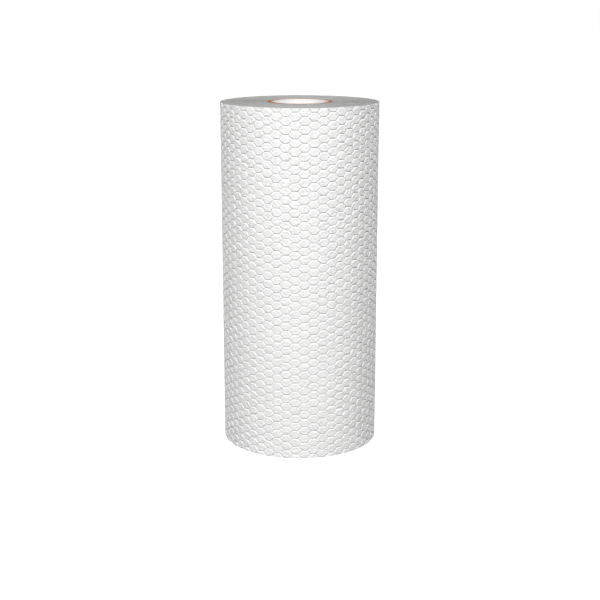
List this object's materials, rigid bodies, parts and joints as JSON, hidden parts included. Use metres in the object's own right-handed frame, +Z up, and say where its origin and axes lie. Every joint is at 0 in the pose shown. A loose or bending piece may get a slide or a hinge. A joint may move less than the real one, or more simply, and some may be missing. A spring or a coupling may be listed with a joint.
{
  "type": "roll of reusable cleaning cloths",
  "caption": "Upright cylindrical roll of white honeycomb-embossed nonwoven cleaning cloth, wound tightly on a hollow board core that slips over a holder's rod.",
  "frame": {"origin": "middle of the roll's lower end, on the axis of the core", "axes": "+Z up along the core; the web's free edge lies at the back, towards +Y"},
  "size_m": [0.1048, 0.1051, 0.23],
  "materials": {
    "cloth": "soft matte white nonwoven, embossed",
    "core_board": "matte brown board with a white inner ply"
  },
  "bodies": {
    "root": {"cloth_roll": "cloth", "core_tube": "core_board"}
  },
  "joints": []
}
